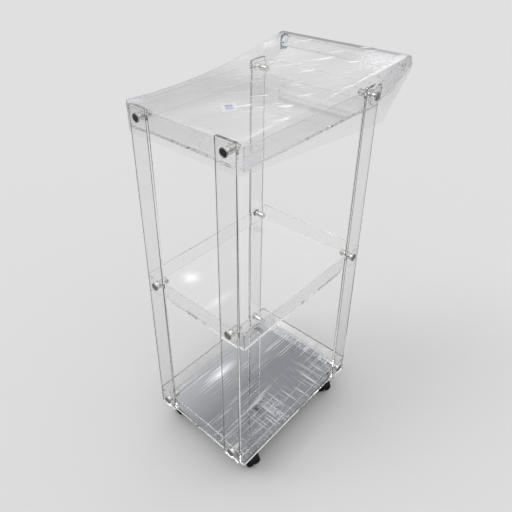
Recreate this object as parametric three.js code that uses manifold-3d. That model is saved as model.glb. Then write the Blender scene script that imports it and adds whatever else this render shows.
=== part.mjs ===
// Clear three-tier ward trolley: three acrylic trays on four bolted leg strips, a push handle and casters.
// Millimetres, +Z up. X runs across the trolley, Y from its front to the handle. The origin is on the floor.
import * as THREE from 'three';
import { mergeVertices } from 'three/addons/utils/BufferGeometryUtils.js';
import Module from 'manifold-3d';

const wasm = await Module();
wasm.setup();

// Trays: shallow boxes of bonded sheet
const TRAY_WIDTH = 350;
const TRAY_LENGTH = 490;
const TRAY_HEIGHT = 50;
const SHEET = 6;
const TRAY_CORNER_R = 3;

// Height of each tray's underside over the underside of the bottom tray
const TIERS = { bottom: 0, middle: 448, top: 921 };

// Leg strips: the front pair lies on the front lips, the rear pair on the side lips
const LEG_WIDTH = 60;
const LEG_THICK = 8;
const LEG_INSET = 12;
const LEG_FOOT_Z = 4;
const LEG_HEAD_Z = 980;
const LEG_CORNER_R = 5;

// Stand-offs: a capped screw outside, a barrel nut inside, at each leg and tray
const CAP_R = 11.2;
const CAP_THICK = 5;
const CAP_EDGE = 1;
const SHANK_R = 7.5;
const STUD_R = 4;
const STUD_IN_BARREL = 12;
const BOLT_HOLE_R = 8;
const BARREL_R = 9;
const BARREL_LENGTH = 24;
const BARREL_BORE_R = 4.4;
const BARREL_BORE_DEPTH = 14;
const FRONT_BOLT_RISE = 32;
const REAR_BOLT_RISE = 36;

// Handle: a rod between two round-ended arms that the rear top stand-offs clamp
const ROD_R = 15;
const ROD_Y = 572;
const ROD_Z = 1003;
const ROD_SOCKET = 3;
const ROD_EDGE = 1;
const SEAT_GAP = 0.3;
const ARM_R = 24;
const ARM_THICK = 8;

// Mirror sheet on the bottom tray's floor
const MIRROR_THICK = 2;
const MIRROR_CLEARANCE = 2;

// Stretch film, drawn as a thin hood over the top tray and the handle
const FILM_GAP = 1.5;
const FILM_THICK = 0.8;
const FILM_FRONT_Z = 981.5;
const FILM_DIP_Y = 300;
const FILM_DIP_Z = 958.5;
const FILM_FRONT_HEM_Z = 913;
const FILM_REAR_HEM_Z = 882;
const FILM_REAR_HEM_Y = 486;
const FILM_TAIL = 14;

// Twin-wheel casters, each at its own heading in degrees
const CASTER_HEIGHT = 66;
const CASTER_INSET_X = 42;
const CASTER_INSET_Y = 60;
const CASTER_TRAIL = 21;
const CASTER_HEADINGS = { front_left: -97, front_right: -17, rear_left: -60, rear_right: -31 };
const PLATE_SIDE = 44;
const PLATE_THICK = 2.5;
const PLATE_HOLE_PITCH = 33;
const PLATE_HOLE_R = 2.2;
const PLATE_CORNER_R = 6;
const PIN_R = 5;
const PIN_LENGTH = 17;
const BOSS_R = 12;
const BOSS_TOP_GAP = 1;
const BOSS_FOOT_Z = 30;
const WHEEL_R = 20;
const WHEEL_WIDTH = 14;
const WHEEL_SHOULDER = 3.6;
const WHEEL_RIM_R = 14.5;
const WHEEL_HUB_R = 7;
const WHEEL_DISH = 2.5;
const WHEEL_DISH_SLOPE = 1.5;
const HUB_RECESS = 1;
const WEB_THICK = 7;
const AXLE_R = 3;
const AXLE_END_GAP = 1;
const RUNNING_GAP = 0.4;
const HOOD_GAP = 1.2;
const HOOD_THICK = 2.2;
const HOOD_FROM = THREE.MathUtils.degToRad(12);
const HOOD_TO = THREE.MathUtils.degToRad(192);

// Facets of turned pieces, of wheels, and along each arc of an outline
const ROUND_SEGMENTS = 16;
const ROD_SEGMENTS = 28;
const WHEEL_SEGMENTS = 18;
const ARC_SEGMENTS = 6;
const CORNER_SEGMENTS = 4;
const PLATE_SEGMENTS = 3;

// The front face of the trays is at y = 0 until the whole trolley is centred over the origin
const FILM_FRONT_Y = -(LEG_THICK + CAP_THICK + FILM_GAP + FILM_THICK);
const FILM_REAR_Y = ROD_Y + ARM_R + FILM_GAP + FILM_THICK;
const CENTRE_Y = (FILM_FRONT_Y + FILM_REAR_Y) / 2;
const HALF_WIDTH = TRAY_WIDTH / 2;
const FRONT_BOLT_X = HALF_WIDTH - LEG_INSET - LEG_WIDTH / 2;
const REAR_BOLT_Y = TRAY_LENGTH - LEG_INSET - LEG_WIDTH / 2;
const ARM_OUTER_X = HALF_WIDTH + LEG_THICK + ARM_THICK;

const acrylic = new THREE.MeshStandardMaterial({
  color: '#eaf1f3', roughness: 0.04, metalness: 0, transparent: true, opacity: 0.35,
});
const chrome = new THREE.MeshStandardMaterial({ color: '#c9c9c4', roughness: 0.08, metalness: 1 });
const mirror = new THREE.MeshStandardMaterial({ color: '#8c9098', roughness: 0.06, metalness: 1 });
const film = new THREE.MeshStandardMaterial({
  color: '#f2f3f5', roughness: 0.2, metalness: 0, transparent: true, opacity: 0.25,
});
const nylon = new THREE.MeshStandardMaterial({ color: '#121213', roughness: 0.45, metalness: 0 });
const steel = new THREE.MeshStandardMaterial({ color: '#2a2a2c', roughness: 0.4, metalness: 1 });

// A closed geometry as a solid for cuts and joins
function solid(geometry) {
  const bare = geometry.clone();
  bare.deleteAttribute('normal');
  bare.deleteAttribute('uv');
  const merged = mergeVertices(bare, 1e-4);
  return new wasm.Manifold(new wasm.Mesh({
    numProp: 3,
    vertProperties: new Float32Array(merged.attributes.position.array),
    triVerts: new Uint32Array(merged.index.array),
  }));
}

function geometryOf(body) {
  const mesh = body.getMesh();
  const geometry = new THREE.BufferGeometry();
  geometry.setAttribute('position', new THREE.BufferAttribute(mesh.vertProperties, 3));
  geometry.setIndex(new THREE.BufferAttribute(mesh.triVerts, 1));
  geometry.computeVertexNormals();
  return geometry;
}

function roundedRectangle(width, height, radius) {
  const x = width / 2 - radius;
  const y = height / 2 - radius;
  const shape = new THREE.Shape();
  shape.absarc(x, y, radius, 0, Math.PI / 2);
  shape.absarc(-x, y, radius, Math.PI / 2, Math.PI);
  shape.absarc(-x, -y, radius, Math.PI, 1.5 * Math.PI);
  shape.absarc(x, -y, radius, 1.5 * Math.PI, 2 * Math.PI);
  return shape;
}

function drill(shape, x, y, radius) {
  shape.holes.push(new THREE.Path().absarc(x, y, radius, 0, 2 * Math.PI, true));
}

// A flat shape made thick, standing on the XY plane
function slab(shape, thickness, curveSegments = CORNER_SEGMENTS) {
  return new THREE.ExtrudeGeometry(shape, { depth: thickness, bevelEnabled: false, curveSegments });
}

// The same with the shape drawn in Y and Z, thick along X
function sideSlab(shape, thickness, curveSegments) {
  const geometry = slab(shape, thickness, curveSegments);
  const turn = new THREE.Matrix4().makeBasis(
    new THREE.Vector3(0, 1, 0), new THREE.Vector3(0, 0, 1), new THREE.Vector3(1, 0, 0));
  return geometry.applyMatrix4(turn);
}

// A round piece about Z from radius and height pairs, listed from its foot to its head
function turned(profile, segments = ROUND_SEGMENTS) {
  const points = profile.map(([radius, z]) => new THREE.Vector2(radius, z));
  return new THREE.LatheGeometry(points, segments).rotateX(Math.PI / 2);
}

function piece(name, geometry, material) {
  const mesh = new THREE.Mesh(geometry, material);
  mesh.name = name;
  return mesh;
}

function trayGeometry() {
  const height = TRAY_HEIGHT - SHEET;
  const outside = slab(roundedRectangle(TRAY_WIDTH, TRAY_LENGTH, TRAY_CORNER_R), TRAY_HEIGHT);
  const inside = new THREE.BoxGeometry(TRAY_WIDTH - 2 * SHEET, TRAY_LENGTH - 2 * SHEET, height + 1);
  inside.translate(0, 0, SHEET + (height + 1) / 2);
  const middle = TRAY_LENGTH / 2;
  const hole = () => new THREE.CylinderGeometry(BOLT_HOLE_R, BOLT_HOLE_R, 3 * SHEET, ROUND_SEGMENTS);
  let body = solid(outside).subtract(solid(inside));
  for (const side of [-1, 1]) {
    const front = hole().translate(side * FRONT_BOLT_X, -middle + SHEET / 2, FRONT_BOLT_RISE);
    const rear = hole().rotateZ(Math.PI / 2);
    rear.translate(side * (HALF_WIDTH - SHEET / 2), REAR_BOLT_Y - middle, REAR_BOLT_RISE);
    body = body.subtract(solid(front)).subtract(solid(rear));
  }
  return geometryOf(body);
}

function trays() {
  const group = new THREE.Group();
  for (const [tier, height] of Object.entries(TIERS)) {
    const tray = piece(`${tier}_tray`, trayGeometry(), acrylic);
    tray.position.set(0, TRAY_LENGTH / 2, height);
    group.add(tray);
  }
  return group;
}

// A leg strip standing up, its outer face towards -Y, drilled for one stand-off at each tray
function legGeometry(boltRise) {
  const length = LEG_HEAD_Z - LEG_FOOT_Z;
  const centre = (LEG_HEAD_Z + LEG_FOOT_Z) / 2;
  const shape = roundedRectangle(LEG_WIDTH, length, LEG_CORNER_R);
  for (const height of Object.values(TIERS)) {
    drill(shape, 0, height + boltRise - centre, BOLT_HOLE_R);
  }
  return slab(shape, LEG_THICK, ARC_SEGMENTS).rotateX(Math.PI / 2).translate(0, 0, centre);
}

function legs() {
  const group = new THREE.Group();
  for (const [side, sign] of [['left', -1], ['right', 1]]) {
    const front = piece(`leg_front_${side}`, legGeometry(FRONT_BOLT_RISE), acrylic);
    front.position.x = sign * FRONT_BOLT_X;
    const rear = piece(`leg_rear_${side}`, legGeometry(REAR_BOLT_RISE), acrylic);
    rear.rotation.z = sign * Math.PI / 2;
    rear.position.set(sign * HALF_WIDTH, REAR_BOLT_Y, 0);
    group.add(front, rear);
  }
  return group;
}

// Cap, shank and stud in one: the cap sits on z = 0, the shank fills the holes in the clamped sheets,
// and the stud below it goes into the barrel
function capScrewGeometry(stack) {
  return turned([
    [0, -stack - STUD_IN_BARREL],
    [STUD_R, -stack - STUD_IN_BARREL],
    [STUD_R, SEAT_GAP - stack],
    [SHANK_R, SEAT_GAP - stack],
    [SHANK_R, 0],
    [CAP_R, 0],
    [CAP_R, CAP_THICK - CAP_EDGE],
    [CAP_R - CAP_EDGE, CAP_THICK],
    [0, CAP_THICK],
  ]);
}

// Barrel nut below z = 0, its blind bore open at the top
function barrelNutGeometry() {
  return turned([
    [0, -BARREL_LENGTH],
    [BARREL_R - CAP_EDGE, -BARREL_LENGTH],
    [BARREL_R, -BARREL_LENGTH + CAP_EDGE],
    [BARREL_R, 0],
    [BARREL_BORE_R, 0],
    [BARREL_BORE_R, -BARREL_BORE_DEPTH],
    [0, -BARREL_BORE_DEPTH],
  ]);
}

// One stand-off: its group's +Z points out of the tray, and z = 0 is the outer face of the lip
function standOff(place, outerStack) {
  const group = new THREE.Group();
  const screw = piece(`cap_screw_${place}`, capScrewGeometry(outerStack + SHEET), chrome);
  screw.position.z = outerStack;
  const barrel = piece(`barrel_nut_${place}`, barrelNutGeometry(), chrome);
  barrel.position.z = -SHEET;
  group.add(screw, barrel);
  return group;
}

function standOffs() {
  const group = new THREE.Group();
  for (const [tier, height] of Object.entries(TIERS)) {
    const rearStack = tier === 'top' ? LEG_THICK + ARM_THICK : LEG_THICK;
    for (const [side, sign] of [['left', -1], ['right', 1]]) {
      const front = standOff(`${tier}_front_${side}`, LEG_THICK);
      front.rotation.x = Math.PI / 2;
      front.position.set(sign * FRONT_BOLT_X, 0, height + FRONT_BOLT_RISE);
      const rear = standOff(`${tier}_rear_${side}`, rearStack);
      rear.rotation.y = sign * Math.PI / 2;
      rear.position.set(sign * HALF_WIDTH, REAR_BOLT_Y, height + REAR_BOLT_RISE);
      group.add(front, rear);
    }
  }
  return group;
}

// Round-ended plate from the rear top stand-off to the rod, with a blind socket for the rod's end
function armGeometry(sign) {
  const boltZ = TIERS.top + REAR_BOLT_RISE;
  const slope = Math.atan2(ROD_Z - boltZ, ROD_Y - REAR_BOLT_Y);
  const shape = new THREE.Shape();
  shape.absarc(ROD_Y, ROD_Z, ARM_R, slope - Math.PI / 2, slope + Math.PI / 2);
  shape.absarc(REAR_BOLT_Y, boltZ, ARM_R, slope + Math.PI / 2, slope + 1.5 * Math.PI);
  drill(shape, REAR_BOLT_Y, boltZ, BOLT_HOLE_R);
  const innerX = sign * (HALF_WIDTH + LEG_THICK);
  const plate = sideSlab(shape, ARM_THICK, ARC_SEGMENTS);
  plate.translate(sign > 0 ? innerX : innerX - ARM_THICK, 0, 0);
  const socketR = ROD_R + SEAT_GAP;
  const socket = new THREE.CylinderGeometry(socketR, socketR, 2 * ROD_SOCKET, ROD_SEGMENTS);
  socket.rotateZ(Math.PI / 2).translate(innerX, ROD_Y, ROD_Z);
  return geometryOf(solid(plate).subtract(solid(socket)));
}

function rodGeometry() {
  const half = HALF_WIDTH + LEG_THICK + ROD_SOCKET - SEAT_GAP;
  const rod = turned([
    [0, -half],
    [ROD_R - ROD_EDGE, -half],
    [ROD_R, -half + ROD_EDGE],
    [ROD_R, half - ROD_EDGE],
    [ROD_R - ROD_EDGE, half],
    [0, half],
  ], ROD_SEGMENTS);
  return rod.rotateY(Math.PI / 2);
}

function handle() {
  const group = new THREE.Group();
  const rod = piece('handle_rod', rodGeometry(), acrylic);
  rod.position.set(0, ROD_Y, ROD_Z);
  group.add(
    rod,
    piece('handle_arm_left', armGeometry(-1), acrylic),
    piece('handle_arm_right', armGeometry(1), acrylic),
  );
  return group;
}

function baseMirror() {
  const trim = 2 * (SHEET + MIRROR_CLEARANCE);
  const sheet = roundedRectangle(TRAY_WIDTH - trim, TRAY_LENGTH - trim, TRAY_CORNER_R);
  const panel = piece('base_mirror', slab(sheet, MIRROR_THICK), mirror);
  panel.position.set(0, TRAY_LENGTH / 2, TIERS.bottom + SHEET);
  return panel;
}

// Plan of the film: it folds round the front caps and legs, and widens to the rear caps
function filmPlan(gap) {
  const frontY = -(LEG_THICK + CAP_THICK + gap);
  const capX = FRONT_BOLT_X + CAP_R + gap;
  const legX = FRONT_BOLT_X + LEG_WIDTH / 2 + gap;
  const rearX = ARM_OUTER_X + CAP_THICK + gap;
  const right = [
    [capX, frontY],
    [legX, -LEG_THICK - gap],
    [HALF_WIDTH + gap, 0],
    [rearX, REAR_BOLT_Y - CAP_R],
    [rearX, FILM_REAR_Y + gap],
  ];
  const left = right.map(([x, y]) => [-x, y]).reverse();
  return new THREE.Shape([...right, ...left].map(([x, y]) => new THREE.Vector2(x, y)));
}

// Side outline of the film: up the front, in a sagging curve to the handle, and round the arms' ends
function filmSide(gap, closeBelow) {
  const reach = ARM_R + gap;
  const frontY = -(LEG_THICK + CAP_THICK + gap);
  const frontZ = FILM_FRONT_Z + gap;
  const dipZ = FILM_DIP_Z + gap;
  const toRodY = ROD_Y - FILM_DIP_Y;
  const toRodZ = ROD_Z - dipZ;
  const distance = Math.hypot(toRodY, toRodZ);
  const tangent = Math.atan2(toRodZ, toRodY) + Math.asin(reach / distance) + Math.PI / 2;
  const shape = new THREE.Shape();
  shape.moveTo(frontY, frontZ);
  shape.quadraticCurveTo(
    FILM_DIP_Y, dipZ, ROD_Y + reach * Math.cos(tangent), ROD_Z + reach * Math.sin(tangent));
  shape.absarc(ROD_Y, ROD_Z, reach, tangent, 0, true);
  closeBelow(shape, frontY, ROD_Y + reach);
  return shape;
}

function wrapFilm() {
  const outerGap = FILM_GAP + FILM_THICK;
  const hem = (shape, frontY, rearY) => {
    shape.lineTo(rearY, ROD_Z - FILM_TAIL);
    shape.quadraticCurveTo(ROD_Y - ARM_R, ROD_Z - 2 * ARM_R, FILM_REAR_HEM_Y, FILM_REAR_HEM_Z);
    shape.lineTo(frontY, FILM_FRONT_HEM_Z);
  };
  const openBelow = (shape, frontY, rearY) => {
    shape.lineTo(rearY, 0);
    shape.lineTo(frontY, 0);
  };
  const reachX = 2 * TRAY_WIDTH;
  const fill = (gap, closeBelow) => {
    const side = sideSlab(filmSide(gap, closeBelow), reachX, ARC_SEGMENTS).translate(-reachX / 2, 0, 0);
    const plan = slab(filmPlan(gap), 2 * LEG_HEAD_Z);
    return solid(side).intersect(solid(plan));
  };
  const hood = fill(outerGap, hem).subtract(fill(FILM_GAP, openBelow));
  return piece('wrap_film', geometryOf(hood), film);
}

// Square top plate with its swivel pin, the plate's upper face at the caster's full height
function casterPlateGeometry() {
  const shape = roundedRectangle(PLATE_SIDE, PLATE_SIDE, PLATE_CORNER_R);
  const pitch = PLATE_HOLE_PITCH / 2;
  for (const x of [-pitch, pitch]) {
    for (const y of [-pitch, pitch]) {
      drill(shape, x, y, PLATE_HOLE_R);
    }
  }
  const plateZ = CASTER_HEIGHT - PLATE_THICK;
  const plate = slab(shape, PLATE_THICK, PLATE_SEGMENTS).translate(0, 0, plateZ);
  const pin = new THREE.CylinderGeometry(PIN_R, PIN_R, PIN_LENGTH + PLATE_THICK / 2, ROUND_SEGMENTS);
  pin.rotateX(Math.PI / 2).translate(0, 0, plateZ - PIN_LENGTH / 2 + PLATE_THICK / 4);
  return geometryOf(solid(plate).add(solid(pin)));
}

// Hood: a boss on the pin, a fender over both wheels, and the web between them that holds the axle
function hoodGeometry() {
  const width = WEB_THICK + 2 * (RUNNING_GAP + WHEEL_WIDTH);
  const inner = WHEEL_R + HOOD_GAP;
  const outer = inner + HOOD_THICK;
  const upright = (shape, thickness) => slab(shape, thickness, ARC_SEGMENTS)
    .rotateX(Math.PI / 2).translate(CASTER_TRAIL, thickness / 2, WHEEL_R);
  const fenderShape = new THREE.Shape();
  fenderShape.absarc(0, 0, outer, HOOD_FROM, HOOD_TO);
  fenderShape.absarc(0, 0, inner, HOOD_TO, HOOD_FROM, true);
  const webShape = new THREE.Shape();
  webShape.absarc(0, 0, outer - HOOD_THICK / 2, HOOD_FROM, HOOD_TO);
  webShape.absarc(0, 0, BOSS_R, HOOD_TO, HOOD_FROM + 2 * Math.PI);
  const bossTop = CASTER_HEIGHT - PLATE_THICK - BOSS_TOP_GAP;
  const boss = new THREE.CylinderGeometry(BOSS_R, BOSS_R, bossTop - BOSS_FOOT_Z, ROUND_SEGMENTS);
  boss.rotateX(Math.PI / 2).translate(0, 0, (bossTop + BOSS_FOOT_Z) / 2);
  const roomWidth = WHEEL_WIDTH + 2 * RUNNING_GAP;
  const wheelRoom = new THREE.CylinderGeometry(inner, inner, roomWidth, ROD_SEGMENTS);
  const boreR = PIN_R + RUNNING_GAP;
  const bore = new THREE.CylinderGeometry(boreR, boreR, 2 * PIN_LENGTH, ROUND_SEGMENTS);
  bore.rotateX(Math.PI / 2).translate(0, 0, CASTER_HEIGHT - PLATE_THICK - RUNNING_GAP);
  const axleHole = new THREE.CylinderGeometry(AXLE_R + SEAT_GAP, AXLE_R + SEAT_GAP, width, ROUND_SEGMENTS);
  axleHole.translate(CASTER_TRAIL, 0, WHEEL_R);
  let body = solid(boss);
  for (const side of [-1, 1]) {
    const room = wheelRoom.clone();
    room.translate(CASTER_TRAIL, side * (WEB_THICK + roomWidth) / 2, WHEEL_R);
    body = body.subtract(solid(room));
  }
  body = body.add(solid(upright(fenderShape, width))).add(solid(upright(webShape, WEB_THICK)));
  return geometryOf(body.subtract(solid(bore)).subtract(solid(axleHole)));
}

// One wheel with its inner face on z = 0: a rounded outer shoulder and a dished face round the hub
function wheelGeometry() {
  const boreR = AXLE_R + RUNNING_GAP;
  const dish = WHEEL_WIDTH - WHEEL_DISH;
  const hub = WHEEL_WIDTH - HUB_RECESS;
  return turned([
    [boreR, 0],
    [WHEEL_R, 0],
    [WHEEL_R, WHEEL_WIDTH - WHEEL_SHOULDER],
    [WHEEL_R - WHEEL_SHOULDER / 3, WHEEL_WIDTH - WHEEL_SHOULDER / 3],
    [WHEEL_R - WHEEL_SHOULDER, WHEEL_WIDTH],
    [WHEEL_RIM_R, WHEEL_WIDTH],
    [WHEEL_RIM_R - WHEEL_DISH_SLOPE, dish],
    [WHEEL_HUB_R, dish],
    [WHEEL_HUB_R, hub],
    [boreR, hub],
    [boreR, 0],
  ], WHEEL_SEGMENTS);
}

function caster(place) {
  const group = new THREE.Group();
  const axleLength = WEB_THICK + 2 * (RUNNING_GAP + WHEEL_WIDTH) - 2 * AXLE_END_GAP;
  const axleGeometry = new THREE.CylinderGeometry(AXLE_R, AXLE_R, axleLength, ROUND_SEGMENTS);
  const axle = piece(`caster_axle_${place}`, axleGeometry, steel);
  axle.position.set(CASTER_TRAIL, 0, WHEEL_R);
  const running = new THREE.Group();
  running.rotation.z = THREE.MathUtils.degToRad(CASTER_HEADINGS[place]);
  running.add(piece(`caster_hood_${place}`, hoodGeometry(), nylon), axle);
  for (const [end, sign] of [['a', 1], ['b', -1]]) {
    const wheel = piece(`caster_wheel_${end}_${place}`, wheelGeometry(), nylon);
    wheel.rotation.x = -sign * Math.PI / 2;
    wheel.position.set(CASTER_TRAIL, sign * (WEB_THICK / 2 + RUNNING_GAP), WHEEL_R);
    running.add(wheel);
  }
  group.add(piece(`caster_plate_${place}`, casterPlateGeometry(), steel), running);
  return group;
}

function casters() {
  const group = new THREE.Group();
  const x = HALF_WIDTH - CASTER_INSET_X;
  const ends = { front: CASTER_INSET_Y, rear: TRAY_LENGTH - CASTER_INSET_Y };
  for (const [end, y] of Object.entries(ends)) {
    for (const [side, sign] of [['left', -1], ['right', 1]]) {
      const unit = caster(`${end}_${side}`);
      unit.position.set(sign * x, y, 0);
      group.add(unit);
    }
  }
  return group;
}

const upperWorks = new THREE.Group();
upperWorks.position.z = CASTER_HEIGHT;
upperWorks.add(trays(), legs(), standOffs(), handle(), baseMirror(), wrapFilm());

const trolley = new THREE.Group();
trolley.position.y = -CENTRE_Y;
trolley.add(upperWorks, casters());

export default trolley;
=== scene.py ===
"""Looks of a clear three-tier ward trolley: polished acrylic, chrome stand-offs, a grey mirror base,
black casters and the stretch film that still covers its top tray and handle. Metres, +Z up."""
import math

import bmesh
import bpy
from mathutils import Matrix, Vector, noise


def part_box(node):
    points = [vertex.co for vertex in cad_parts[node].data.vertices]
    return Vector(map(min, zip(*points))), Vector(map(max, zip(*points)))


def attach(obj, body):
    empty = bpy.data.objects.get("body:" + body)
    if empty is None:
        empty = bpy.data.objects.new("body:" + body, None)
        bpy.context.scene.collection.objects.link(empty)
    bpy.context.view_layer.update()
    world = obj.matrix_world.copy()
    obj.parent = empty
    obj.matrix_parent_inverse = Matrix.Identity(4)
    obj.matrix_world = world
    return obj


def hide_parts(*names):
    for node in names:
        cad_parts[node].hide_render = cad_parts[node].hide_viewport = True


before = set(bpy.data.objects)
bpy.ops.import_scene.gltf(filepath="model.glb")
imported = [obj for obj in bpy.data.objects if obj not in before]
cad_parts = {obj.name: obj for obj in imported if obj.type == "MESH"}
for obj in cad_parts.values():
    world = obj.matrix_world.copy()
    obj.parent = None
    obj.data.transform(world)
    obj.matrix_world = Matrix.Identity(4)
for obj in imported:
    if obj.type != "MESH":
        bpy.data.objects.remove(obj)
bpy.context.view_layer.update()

MM = 0.001
TROLLEY = "trolley"
TIERS = ("bottom", "middle", "top")
ENDS = ("front", "rear")
SIDES = {"left": -1, "right": 1}
CORNERS = [(end, side) for end in ENDS for side in SIDES]

# Camera, fitted to the photograph: pixels of its 512 pixel frame, degrees and metres
PHOTO_SIDE = 512
FOCAL_PIXELS = 533.2
PRINCIPAL_X = 238.1
PRINCIPAL_Y = 214.9
CAMERA_PLACE = Vector((0.7786, -0.9572, 1.4490))
CAMERA_YAW = math.radians(42.94)
CAMERA_PITCH = math.radians(31.75)
CAMERA_ROLL = math.radians(-0.47)
SENSOR_WIDTH = 36.0

# Small shapes that the finished pieces add to the solids
SHEET = 6 * MM
EDGE_ROUND = 0.5 * MM
AIR_GAP = 0.15 * MM
TRAY_CORNER_R = 3 * MM
LEG_CORNER_R = 5 * MM
LEG_CHAMFER = 1 * MM
HOLE_R = 8 * MM
CAP_THICK = 5 * MM
SHANK_R = 7.5 * MM
STUD_R = 4 * MM
STUD_LENGTH = 11.7 * MM
STUD_HOLE = 14 * MM
SHARP_ANGLE = math.radians(32)
FLAT_FACE = 0.99999
ROUND_STEPS = 56
LABEL_PLACE = (-0.0753, -0.0689)
LABEL_SIZE = (62 * MM, 39 * MM)
LABEL_TURN = math.radians(-41)


def linear(colour):
    """An sRGB hex colour as linear red, green, blue and alpha."""
    parts = [int(colour[i:i + 2], 16) / 255 for i in (1, 3, 5)]
    return (*(c / 12.92 if c <= 0.04045 else ((c + 0.055) / 1.055) ** 2.4 for c in parts), 1.0)


def per(size):
    """A texture's scale for features of a size."""
    return 1 / size


def add_node(tree, kind, inputs=None, **settings):
    """Adds a node, sets it up, and gives its inputs their values, or the sockets or nodes that feed them."""
    made = tree.nodes.new("ShaderNode" + kind)
    for name, value in settings.items():
        setattr(made, name, value)
    for socket, value in (inputs or {}).items():
        if isinstance(value, bpy.types.Node):
            value = next(output for output in value.outputs if output.enabled)
        if isinstance(value, bpy.types.NodeSocket):
            tree.links.new(value, made.inputs[socket])
        else:
            made.inputs[socket].default_value = value
    return made


def start_material(name):
    """A new material, its empty tree, and the coordinates that its patterns follow."""
    material = bpy.data.materials.new(name)
    material.use_nodes = True
    tree = material.node_tree
    tree.nodes.clear()
    return material, tree, add_node(tree, "TexCoord").outputs["Object"]


def close_material(material, shader):
    add_node(material.node_tree, "OutputMaterial", {"Surface": shader})
    return material


def clear_acrylic():
    """Cast acrylic with polished faces: clear, hard gloss, with faint wipe marks."""
    material, tree, place = start_material("clear_acrylic")
    wipe = add_node(tree, "TexNoise", {"Vector": place, "Scale": per(110 * MM), "Detail": 3.0})
    haze = add_node(tree, "MapRange", {
        "Value": wipe, "From Min": 0.45, "From Max": 0.8, "To Min": 0.0, "To Max": 0.04})
    shader = add_node(tree, "BsdfPrincipled", {
        "Base Color": linear("#fefefe"), "Roughness": haze, "IOR": 1.49, "Transmission Weight": 1.0})
    depth = add_node(tree, "VolumeAbsorption", {"Color": linear("#979da0"), "Density": 0.4})
    add_node(tree, "OutputMaterial", {"Surface": shader, "Volume": depth})
    return material


def scraped_chamfer_painted_dark():
    """The small chamfers on the leg strips: scraped with a blade, so frosted with chatter marks, and painted
    dark grey for the dark lines that clear edges show by refraction.
    """
    material, tree, place = start_material("scraped_acrylic_chamfer_painted_dark")
    chatter = add_node(tree, "TexNoise", {"Vector": place, "Scale": per(4 * MM), "Detail": 2.0})
    # The grey is painted: the dark edge lines that clear edges show by refraction; the chatter marks are the
    # blade's
    tint = add_node(tree, "Mix", {
        "Factor": chatter, "A": linear("#63666a"), "B": linear("#8e9195")}, data_type="RGBA")
    rough = add_node(tree, "MapRange", {"Value": chatter, "To Min": 0.3, "To Max": 0.6})
    shader = add_node(tree, "BsdfPrincipled", {"Base Color": tint, "Roughness": rough, "IOR": 1.49})
    return close_material(material, shader)


def polished_chrome():
    """Chrome plate on turned steel: a mirror finish, faintly clouded by handling."""
    material, tree, place = start_material("polished_chrome")
    grain = add_node(tree, "TexNoise", {"Vector": place, "Scale": per(1.1 * MM)})
    rough = add_node(tree, "MapRange", {"Value": grain, "To Min": 0.04, "To Max": 0.10})
    shader = add_node(tree, "BsdfPrincipled", {
        "Base Color": linear("#d6d4cf"), "Metallic": 1.0, "Roughness": rough})
    return close_material(material, shader)


def grey_mirror():
    """Grey acrylic mirror sheet: a cool dark reflection, a little wavy, paler to the left as a painted
    lighter reflection, with streaks along it where it was rubbed and across its right side where it was
    wiped."""
    material, tree, place = start_material("grey_mirror")
    wave = add_node(tree, "TexNoise", {"Vector": place, "Scale": per(70 * MM), "Detail": 1.0})
    bump = add_node(tree, "Bump", {"Height": wave, "Strength": 0.2, "Distance": 0.4 * MM})
    rubbed = add_node(tree, "Mapping", {
        "Vector": place, "Scale": (per(5.9 * MM), per(200 * MM), 1.0),
        "Rotation": (0.0, 0.0, math.radians(12))})
    line = add_node(tree, "TexNoise", {"Vector": rubbed, "Scale": 1.0, "Detail": 4.0})
    streak = add_node(tree, "MapRange", {"Value": line, "From Min": 0.56, "From Max": 0.66})
    area = add_node(tree, "TexNoise", {"Vector": place, "Scale": per(140 * MM), "Detail": 2.0})
    patch = add_node(tree, "MapRange", {
        "Value": area, "From Min": 0.42, "From Max": 0.6, "To Min": 0.05, "To Max": 0.7})
    along = add_node(tree, "Math", {0: streak, 1: patch}, operation="MULTIPLY")
    wiped = add_node(tree, "Mapping", {
        "Vector": place, "Scale": (per(140 * MM), per(5.3 * MM), 1.0),
        "Rotation": (0.0, 0.0, math.radians(-6))})
    cross = add_node(tree, "TexNoise", {"Vector": wiped, "Scale": 1.0, "Detail": 3.0})
    comb = add_node(tree, "MapRange", {"Value": cross, "From Min": 0.57, "From Max": 0.63})
    spot = add_node(tree, "SeparateXYZ", {"Vector": place})
    right = add_node(tree, "MapRange", {
        "Value": spot.outputs["X"], "From Min": 20 * MM, "From Max": 130 * MM, "To Max": 0.7})
    across = add_node(tree, "Math", {0: comb, 1: right}, operation="MULTIPLY")
    lines = add_node(tree, "Math", {0: along, 1: across}, operation="MAXIMUM")
    # Paler to the left: a painted lighter reflection, mixed into the tint with the rub marks
    left = add_node(tree, "MapRange", {
        "Value": spot.outputs["X"], "From Min": 0.0, "From Max": -150 * MM, "To Max": 0.42})
    haze = add_node(tree, "Math", {0: lines, 1: left}, operation="ADD", use_clamp=True)
    tint = add_node(tree, "Mix", {
        "Factor": haze, "A": linear("#8b8d92"), "B": linear("#e6e7ea")}, data_type="RGBA")
    rough = add_node(tree, "MapRange", {"Value": lines, "To Min": 0.03, "To Max": 0.35})
    shader = add_node(tree, "BsdfPrincipled", {
        "Base Color": tint, "Metallic": 1.0, "Roughness": rough, "Normal": bump})
    return close_material(material, shader)


def black_nylon():
    """Moulded black nylon: satin, with the mould's fine grain, drawn coarse enough to show."""
    material, tree, place = start_material("black_nylon")
    grain = add_node(tree, "TexNoise", {"Vector": place, "Scale": per(1.4 * MM), "Detail": 2.0})
    bump = add_node(tree, "Bump", {"Height": grain, "Strength": 0.15, "Distance": 0.3 * MM})
    rough = add_node(tree, "MapRange", {"Value": grain, "To Min": 0.38, "To Max": 0.55})
    shader = add_node(tree, "BsdfPrincipled", {
        "Base Color": linear("#0c0c0d"), "Specular IOR Level": 0.3, "Roughness": rough, "Normal": bump})
    return close_material(material, shader)


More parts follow.
